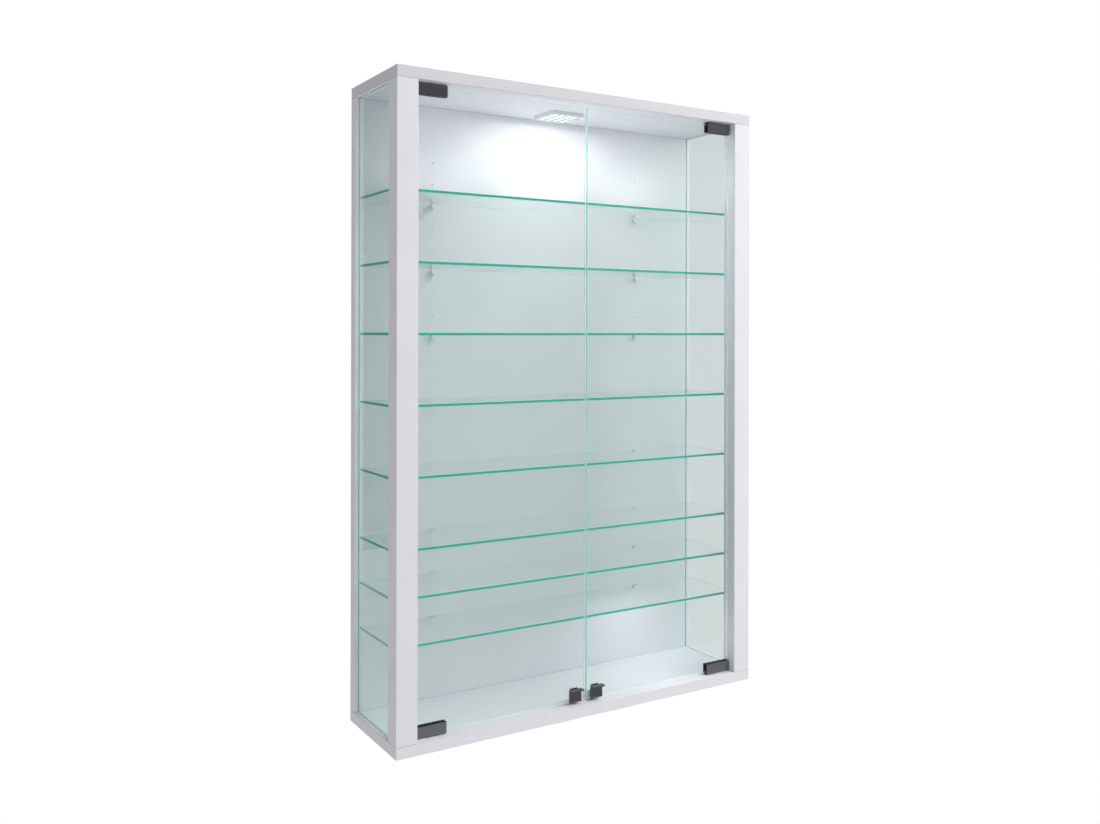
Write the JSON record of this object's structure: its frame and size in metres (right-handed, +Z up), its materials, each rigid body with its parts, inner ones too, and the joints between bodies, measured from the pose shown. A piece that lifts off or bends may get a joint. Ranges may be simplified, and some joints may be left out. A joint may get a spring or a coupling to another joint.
{
  "type": "wall display cabinet",
  "caption": "Shallow wall-hung display cabinet of white board with glass sides and shelves, frameless glass doors on clamp pivot hinges, a magnetic catch and a lamp under its top.",
  "frame": {"origin": "middle of the back panel's rear face, on the plane of the wall", "axes": "+X to the right as seen from the front, +Y into the wall, +Z up; the doors face -Y"},
  "size_m": [0.6, 0.18, 0.92],
  "materials": {
    "white_board": "matte melamine coating",
    "clear_glass": "polished, green at the edges",
    "black_metal": "satin black",
    "steel": "zinc plated",
    "white_plastic": "moulded",
    "black_rubber": "soft matte",
    "beech": "bare turned wood",
    "ferrite": "sintered",
    "lamp_silver": "satin",
    "lamp_lens": "clear, prismatic",
    "circuit_board": "white solder mask",
    "led": "lit"
  },
  "bodies": {
    "cabinet": {"top_panel": "white_board", "bottom_panel": "white_board", "back_panel": "white_board", "left_front_post": "white_board", "right_front_post": "white_board", "left_side_glass": "clear_glass", "right_side_glass": "clear_glass", "back_shelf_supports": "white_plastic", "front_shelf_supports": "white_plastic", "hinge_bushes": "white_plastic", "catch_body": "white_plastic", "catch_magnets": "ferrite", "catch_pole_plates": "steel", "catch_screws": "steel", "lamp_housing": "lamp_silver", "lamp_lens": "lamp_lens", "lamp_board": "circuit_board", "lamp_leds": "led", "lamp_screws": "steel", "lamp_cable_grommet": "black_rubber", "joint_screws": "steel", "joint_dowels": "beech", "left_wall_hanger": "steel", "right_wall_hanger": "steel", "hanger_screws": "steel", "glass_shelf_1": "clear_glass", "glass_shelf_2": "clear_glass", "glass_shelf_3": "clear_glass", "glass_shelf_4": "clear_glass", "glass_shelf_5": "clear_glass", "glass_shelf_6": "clear_glass", "glass_shelf_7": "clear_glass", "glass_shelf_8": "clear_glass"},
    "left_door": {"left_door_glass": "clear_glass", "left_upper_hinge_clip": "black_metal", "left_lower_hinge_clip": "black_metal", "left_hinge_pins": "steel", "left_hinge_pads": "black_rubber", "left_hinge_set_screws": "steel", "left_door_pull": "black_metal", "left_pull_pads": "black_rubber", "left_pull_set_screw": "steel"},
    "right_door": {"right_door_glass": "clear_glass", "right_upper_hinge_clip": "black_metal", "right_lower_hinge_clip": "black_metal", "right_hinge_pins": "steel", "right_hinge_pads": "black_rubber", "right_hinge_set_screws": "steel", "right_door_pull": "black_metal", "right_pull_pads": "black_rubber", "right_pull_set_screw": "steel"}
  },
  "joints": [
    {"name": "left_door_hinge", "type": "hinge", "parent": "cabinet", "child": "left_door", "pos_m": [-0.259, -0.162, 0], "axis": [0, 0, -1], "range_deg": [0, 100]},
    {"name": "right_door_hinge", "type": "hinge", "parent": "cabinet", "child": "right_door", "pos_m": [0.259, -0.162, 0], "axis": [0, 0, 1], "range_deg": [0, 100]}
  ]
}
